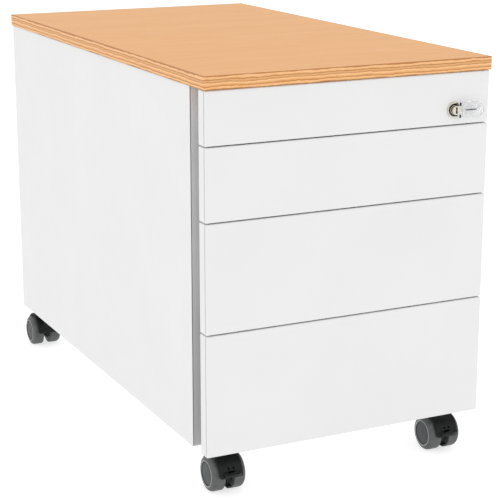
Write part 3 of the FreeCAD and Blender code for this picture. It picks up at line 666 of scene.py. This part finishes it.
def drawer_front(drawer):
    """A folded steel front, drained through its lower return, the plate over its back, and a
    dark strip of painted shade in the joint down each side. The front's skin stands a little
    past its CAD solid above and below."""
    node = f"{drawer}_drawer_front"
    (x, y, z) = spans_of(node)
    under, over = 0.45, 1.3 if drawer == "top" else 0.45
    deep = y[1] - y[0] - 1
    loops = []
    for inset, depth in front_section(deep):
        tall = (z[0] + inset - under, z[1] - inset + over)
        outline = rectangle((x[0] + inset, x[1] - inset), tall, 1.4 - inset)
        loops.append([(u, y[0] + depth, v) for u, v in outline])
    drains = [rod(3, (side * DRAIN_X, y[0] + deep / 2, z[0] - 2), "+Z", 5) for side in (-1, 1)]
    shell = less(loft(loops), *drains)
    across, tall = ((low + PLATE_INSET, high - PLATE_INSET) for low, high in (x, z))
    closing = slab(across, (y[1] - 1, y[1]), tall, 0.25)
    if drawer == "top":
        shell, closing = (
            less(part, rod(9.2, (LOCK_X, y[0] - 2, LOCK_Z), "+Y", 30)) for part in (shell, closing)
        )
    whole = joined(shell, closing)
    piece(f"{drawer}_front", whole, f"{drawer}_drawer", "white_steel", white_steel, [node])
    # A dark grey strip in each side's joint: painted shade in the seam.
    ends = [(x[0] + 0.5, x[0] + 2.4), (x[1] - 2.4, x[1] - 0.5)]
    groove, length = (y[0] + 2.4, y[0] + 3.4), (z[0] + 2.6, z[1] - 2.6)
    seam_shade = joined(*(slab(end, groove, length, 0.2) for end in ends))
    piece(f"{drawer}_seams", seam_shade, f"{drawer}_drawer", "white_steel", painted_seam_shade)


def tray_section(high):
    """The tray's section, as insets from its outline and heights: the bend under it, the
    wall, the hem folded down inside the rim and the inside."""
    bend, gauge, hem = 2.6, 1, 9
    under = arc((bend, bend), bend, 270, 180, 5)
    rim = arc((0.6, high - 0.6), 0.6, 180, 90, 3) + arc((1.6, high - 0.6), 0.6, 90, 0, 3)
    fold = [(2.2, high - hem + 0.4), (1.9, high - hem), (gauge, high - hem), (gauge, high - hem - 0.3)]
    return under + rim + fold + arc((bend, bend), bend - gauge, 180, 270, 5)


def drawer_tray(drawer):
    """A steel tray with a hemmed rim, its front wall against the front's plate, and the catch
    that the lock bar holds. The top one has a notch for the lock's arm and a hole for the lock."""
    node = f"{drawer}_drawer_tray"
    half, front, back = 175.3, -372, 350
    low, high = TRAY_HEIGHTS[drawer]
    loops = []
    for inset, rise in tray_section(high - low):
        outline = rectangle((inset - half, half - inset), (front + inset, back - inset), 2.4 - 0.5 * inset)
        loops.append([(u, v, low + rise) for u, v in outline])
    shell = loft(loops)
    if drawer == "top":
        notch = slab((172, 177), (-343, -338.5), (499, 546), 0.1)
        shell = less(shell, notch, rod(12.2, (LOCK_X, front - 5, LOCK_Z), "+Y", 12))
    catch = slab((half - 0.5, 185), (-334, -331), (low + 2.5, low + 10), 0.4)
    piece(f"{drawer}_tray", joined(shell, catch), f"{drawer}_drawer", "tray_steel", tray_steel, [node])


# ---- lock and key ----------------------------------------------------------------------


def lock():
    """The nickel barrel with its flange, a black ring of painted shade in the flange's recess,
    and the plug with its keyway."""
    flange = arc((10.2, 0.8), 0.8, 0, -90, 4)
    lip = [(8.9, 0.0), (8.5, 0.3), (8.2, 1.6), (6.5, 1.6), (6.5, 43), (8.7, 43), (9, 42.7)]
    nut = [(9, 27), (11.7, 27), (12, 26.7), (12, 23.3), (11.7, 23), (9, 23), (9, 2), (11, 2), (11, 0.8)]
    housing = placed(lathe(flange + lip + nut), (LOCK_X, LOCK_FACE, LOCK_Z), "+Y")
    piece("lock_barrel", housing, "top_drawer", "nickel", nickel_plate, ["lock_housing"])
    # A black ring at the bottom of the flange's recess: painted shade.
    ring = lathe([(6.6, 1.1), (8.2, 1.1), (8.2, 1.7), (6.6, 1.7), (6.6, 1.1)])
    ring = placed(ring, (LOCK_X, LOCK_FACE, LOCK_Z), "+Y")
    piece("lock_recess_shade", ring, "top_drawer", "black_nylon", shadow_black)
    radius = 6.45
    front = [(0, 0.4), *arc((radius - 0.5, 0.9), 0.5, -90, 0, 3)]
    behind = [(radius, 50), (4, 50), (4, 56.2), (3.7, 56.5), (0, 56.5)]
    plug = placed(lathe(front + behind), (LOCK_X, LOCK_FACE, LOCK_Z), "+Y")
    wide, tall = (LOCK_X - 1.2, LOCK_X + 1.2), (LOCK_Z - 4.3, LOCK_Z + 4.3)
    keyway = slab(wide, (LOCK_FACE - 1, LOCK_FACE + 24), tall, 0.2)
    plug = less(plug, keyway)
    piece("lock_plug", plug, "lock_plug", "nickel", nickel_plate, ["lock_core"])


def key():
    """The folding key's steel: a D-shaped bow with a waisted slot, the blade behind it,
    and the hinge with its pin."""
    bow = [(LOCK_X + u, v) for u, v in arc((0, 0), 6.3, 105, 255, 16)] + [(162.8, -6.0), (162.8, 6.0)]
    slot = [(-1.5, 4.2), (1.5, 4.2), (0.9, 0.6), (1.6, -4.2), (-1.6, -4.2), (-0.9, 0.6)]
    slot = rounded([(LOCK_X + u, v) for u, v in slot], 0.35, 3)
    top = placed(plate([bow, slot], 1.2, 0.25), (0, FOLD_Y + 0.2, LOCK_Z), "-Y")
    base = placed(plate([bow], 0.8, 0.2), (0, FOLD_Y + 1, LOCK_Z), "-Y")
    blade = slab((LOCK_X - 1, LOCK_X + 1), (FOLD_Y + 0.5, -373), (LOCK_Z - 4, LOCK_Z + 4), 0.25)
    collar = rod(3.6, (LOCK_X, FOLD_Y + 0.8, LOCK_Z), "+Y", 3.2, 0.4)
    barrel = rod(2, (FOLD_X, FOLD_Y, LOCK_Z - 6), "+Z", 12)
    pin = rod(1, (FOLD_X, FOLD_Y, LOCK_Z - 10.35), "+Z", 20.7, 0.2)
    whole = joined(top, base, blade, collar, barrel)
    piece("key_steel", whole, "key", "nickel", nickel_plate, ["key_blade"])
    # The hinge pin is steel, but it is drawn in black as painted shade.
    piece("key_pin", pin, "key", "zinc_steel", shadow_black)
    # A black inlay at the floor of the bow's slot: painted shade in the slot.
    wide, tall = (LOCK_X - 1.9, LOCK_X + 1.9), (LOCK_Z - 4.6, LOCK_Z + 4.6)
    inlay = slab(wide, (FOLD_Y - 0.2, FOLD_Y + 0.2), tall, 0.05)
    piece("key_slot_shade", inlay, "key", "black_nylon", shadow_black)


def key_cap():
    """The clear cap: a fork at the hinge, a round end, a slot for a ring, a raised frame
    and a thin dark line inside it."""
    half, thick, end = 10.35, 4.6, 190.65
    nose = arc((end, 0), half, -90, 90, 20)
    near, far = FOLD_X - 2.2, FOLD_X + 3.2
    fork = [(near, half), (near, 6.5), (far, 6.5), (far, -6.5), (near, -6.5), (near, -half)]
    ring_slot = rectangle((end + 1.1, end + 4.4), (-4, 4), 1.6)
    body = placed(plate([nose + fork, ring_slot], thick, 0.7, 3), (0, FOLD_Y + thick / 2, LOCK_Z), "-Y")
    rim, well = rectangle((170, 188.5), (-6.6, 6.6), 1.5), rectangle((170.7, 187.8), (-5.9, 5.9), 1.1)
    raised = placed(plate([rim, well], 0.4, 0.1), (0, FOLD_Y - thick / 2 + 0.1, LOCK_Z), "-Y")
    piece("key_cap_clear", joined(body, raised), "key_grip", "clear_plastic", clear_cap, ["key_cap"])
    line = slab((171.5, 188), (FOLD_Y - 1.9, FOLD_Y - 1.2), (LOCK_Z - 0.8, LOCK_Z + 0.8), 0.1)
    piece("key_cap_line", line, "key_grip", "clear_plastic", dark_nylon)


# ---- castors ---------------------------------------------------------------------------


def fender(x, axle_y):
    """The hood's curved shell over the wheels, its ends and corners rounded."""
    half, inner, outer, corner = 17.5, 27, 30, 4
    start, end = 1, 179
    middle = (inner + outer) / 2
    ends = [0, 0.02, 0.08, 0.18, 0.32, 0.5, 0.75, 1]
    reach = math.degrees(corner / middle)
    turns = [start + reach * share for share in ends]
    turns += [start + reach + (end - start - 2 * reach) * step / 24 for step in range(1, 24)]
    turns += [end - reach * share for share in reversed(ends)]
    loops = []
    for turn in turns:
        reached = min(math.radians(min(turn - start, end - turn)) * middle, corner)
        wide = half - corner + math.sqrt(corner**2 - (corner - reached) ** 2)
        thin = 0.7 * (1 - min(reached / 0.9, 1)) ** 2
        section = rectangle((-wide, wide), (inner + thin, outer - thin), 1.1, 3)
        angle = math.radians(turn)
        along, up = math.cos(angle), math.sin(angle)
        loops.append([(x + u, axle_y + r * along, AXLE_Z + r * up) for u, r in section])
    return loft(loops)


def castor_hood(name, x, y, trail, braked):
    """The moulded hood: fender, web between the wheels and boss for the swivel pin. A braked
    one has a slot and a nest for the lever, two round holes, and a lug at each trunnion."""
    axle_y = y + trail * TRAIL
    shell = fender(x, axle_y)
    rim = arc((8.2, 62), 0.8, 0, 90, 3)
    boss = placed(lathe([(5.1, 36), (9.6, 36), (9, 48), *rim, (5.1, 62.8), (5.1, 36)]), (x, y, 0))
    boss = less(boss, rod(27.6, (x - 18, axle_y, AXLE_Z), "+X", 36))
    dip = 40 if braked else 17
    web_outline = rounded(arc((0, 0), 27.4, -dip, 180 + dip, 30), [2] + [0] * 29 + [2])
    web = plate([web_outline], 6, 0.6)
    bmesh.ops.rotate(web, verts=web.verts, cent=(0, 0, 0), matrix=Matrix.Rotation(math.radians(90), 3, "Z"))
    web = placed(web, (x - 3, axle_y, AXLE_Z), "+X")
    if braked:
        pivot_y = axle_y + trail * BRAKE_REACH
        slot_y = sorted((pivot_y + trail * 20, pivot_y - trail * 4.4))
        slots = [slab((x - 4.5, x + 4.5), slot_y, (12, BRAKE_Z + 4.4), 0.6) for _ in range(2)]
        nest_y = sorted((axle_y + trail * 28, axle_y + trail * 40))
        nest = slab((x - 12.3, x + 12.3), nest_y, (BRAKE_Z - 2.4, BRAKE_Z + 4.6), 0.5)
        holes = [rod(1.5, (x + side * 3.7, slot_y[0], BRAKE_Z + 7.4), "+Y", 30) for side in (-1, 1)]
        shell = less(shell, slots[0], nest, *holes)
        web = less(web, slots[1])
        lug_y = sorted((pivot_y + trail * 3.2, pivot_y - trail * 2.4))
        for lug_x in (x - 5, x + 5):
            lug = slab((lug_x - 0.6, lug_x + 0.6), lug_y, (25.8, BRAKE_Z + 4), 0.3)
            shell = joined(shell, lug)
    whole = joined(shell, boss, web)
    piece(f"{name}_hood", whole, f"{name}_castor", "black_nylon", black_nylon, [f"{name}_castor_hood"])
    dress(f"{name}_castor_axle", zinc_steel)


def brake_lever(name, x, y, trail):
    """The lever on its trunnions, and its bowed paddle with drooping ends."""
    pivot_y = y + trail * (TRAIL + BRAKE_REACH)
    rear = [(u, 8.6 + 1.4 * (u / 11.5) ** 2) for u in range(-10, 11, 2)]
    front = [(u, 16 - 3.2 * (u / 11.5) ** 2) for u in range(10, -11, -2)]
    outline = rear + arc((10, 11.6), 1.5, -60, 60, 4) + front + arc((-10, 11.6), 1.5, 120, 240, 4)
    outline = [(u, trail * v) for u, v in outline]
    paddle = placed(plate([outline], 3.4, 0.9, 3), (x, pivot_y, BRAKE_Z - 0.9))
    for vert in paddle.verts:
        vert.co.z -= 1.2 * ((vert.co.x - x) / 11.5) ** 2 - 0.6
    neck_y = sorted((pivot_y - trail * 0.5, pivot_y + trail * 10))
    neck = slab((x - 3.2, x + 3.2), neck_y, (BRAKE_Z - 1.2, BRAKE_Z + 2.2), 0.8)
    boss = rod(2.5, (x - 4, pivot_y, BRAKE_Z), "+X", 8)
    trunnions = rod(1.5, (x - 5.5, pivot_y, BRAKE_Z), "+X", 11, 0.2)
    whole = joined(paddle, neck, boss, trunnions)
    piece(f"{name}_lever", whole, f"{name}_brake", "black_nylon", lever_nylon, [f"{name}_brake_lever"])


def wheel(name, x, y, trail, way, which):
    """One wheel: a domed hub disc inside a soft tread, with a bead, and a pale ring round
    the disc that is a painted highlight."""
    at, axis = (x, y + trail * TRAIL, AXLE_Z), "+X" if way > 0 else "-X"
    wheel_name, body = f"{name}_{which}", f"{name}_{which}_wheel"
    rim = arc((16.3, 23.2), 0.6, 0, 90, 3)
    dome = [(15.2, 23.7), (14.8, 24.0), (9, 24.4), (4.2, 24.5)]
    dimple = [(4, 24.3), (3.6, 24.3), (3.4, 24.5), (0, 24.6)]
    hub = lathe([(0, 8), (3.05, 8), (3.05, 7), (16.6, 7), (16.9, 7.3), *rim, *dome, *dimple])
    hub = placed(hub, at, axis)
    piece(f"{wheel_name}_disc", hub, body, "dark_nylon", dark_nylon, [f"{wheel_name}_hub"])
    inner = arc((23.4, 7.8), 1.6, -90, 0, 4)
    shoulder = arc((20.2, 18.6), (4.8, 5.6), 0, 78, 9)
    bead = arc((18.6, 24.0), (1.4, 1.0), 50, 180, 7)
    tread = lathe([(17.0, 6.4), *inner, *shoulder, *bead, (17.0, 23.4), (17.0, 6.4)], 72)
    tread = placed(tread, at, axis)
    piece(f"{wheel_name}_tyre", tread, body, "grey_tread", grey_tread, [f"{wheel_name}_tread"])
    # A pale grey ring round the hub disc: a painted highlight on the tread's rim.
    ring = lathe([(17.3, 24.6), *arc((18.1, 24.8), 0.55, 180, 0, 6), (18.9, 24.4), (17.3, 24.6)], 72)
    piece(f"{wheel_name}_ring", placed(ring, at, axis), body, "grey_tread", painted_highlight_grey)


def castors():
    """All four castors, the front two with brakes."""
    for name, (x, y, side, trail) in CASTORS.items():
        braked = trail < 0
        castor_hood(name, x, y, trail, braked)
        if braked:
            brake_lever(name, x, y, trail)
        for which, way in (("outer", side), ("inner", -side)):
            wheel(name, x, y, trail, way, which)


top_board()
side_panels()
grip_strips()
back_panel()
body_inside()
for drawer in DRAWERS:
    drawer_front(drawer)
    drawer_tray(drawer)
lock()
key()
key_cap()
castors()


# ---- stage, light and camera -----------------------------------------------------------


def floor():
    """A plain pale floor."""
    holder = as_object(slab((-9000, 9000), (-9000, 9000), (-20, 0), 1))
    holder.data.transform(Matrix.Scale(MM, 4))
    holder.name = "floor"
    pale = Look("floor", (0.5, 0.5, 0.5, 1), 0.9, specular=0.0)
    pale.set("Emission Color", (1, 1, 1, 1))
    pale.set("Emission Strength", 0.68)
    holder.data.materials.append(pale.material)


def soft_light(name, at, aim, size, power):
    """A large area light that faces a point. Its place, aim and size are in metres."""
    data = bpy.data.lights.new(name, "AREA")
    data.shape = "RECTANGLE"
    data.size, data.size_y = size
    data.energy = power
    holder = bpy.data.objects.new(name, data)
    holder.location = at
    holder.rotation_euler = (Vector(aim) - Vector(at)).to_track_quat("-Z", "Y").to_euler()
    bpy.context.scene.collection.objects.link(holder)


def studio():
    """A bright, even studio with soft light from the left and from the front."""
    world = bpy.data.worlds.new("studio")
    world.use_nodes = True
    sky = world.node_tree.nodes["Background"]
    sky.inputs["Color"].default_value = (1, 1, 1, 1)
    sky.inputs["Strength"].default_value = 1.0
    bpy.context.scene.world = world
    bpy.context.scene.view_settings.view_transform = "Standard"
    soft_light("left_light", (-3.0, -1.2, 1.8), (0, 0, 0.3), (2.4, 2.0), 6)
    soft_light("front_light", (0.8, -3.4, 2.0), (0, 0, 0.3), (2.6, 2.0), 6)


def camera():
    """The camera, its place in metres, its downward tilt and its pan in degrees."""
    data = bpy.data.cameras.new("camera")
    data.sensor_width = 36
    data.lens = 111.32
    holder = bpy.data.objects.new("camera", data)
    holder.location = (-0.9970, -2.1372, 0.8569)
    tilt, pan = 14.817, 25.903
    holder.rotation_euler = (math.radians(90 - tilt), 0, math.radians(-pan))
    bpy.context.scene.collection.objects.link(holder)
    bpy.context.scene.camera = holder


floor()
studio()
camera()
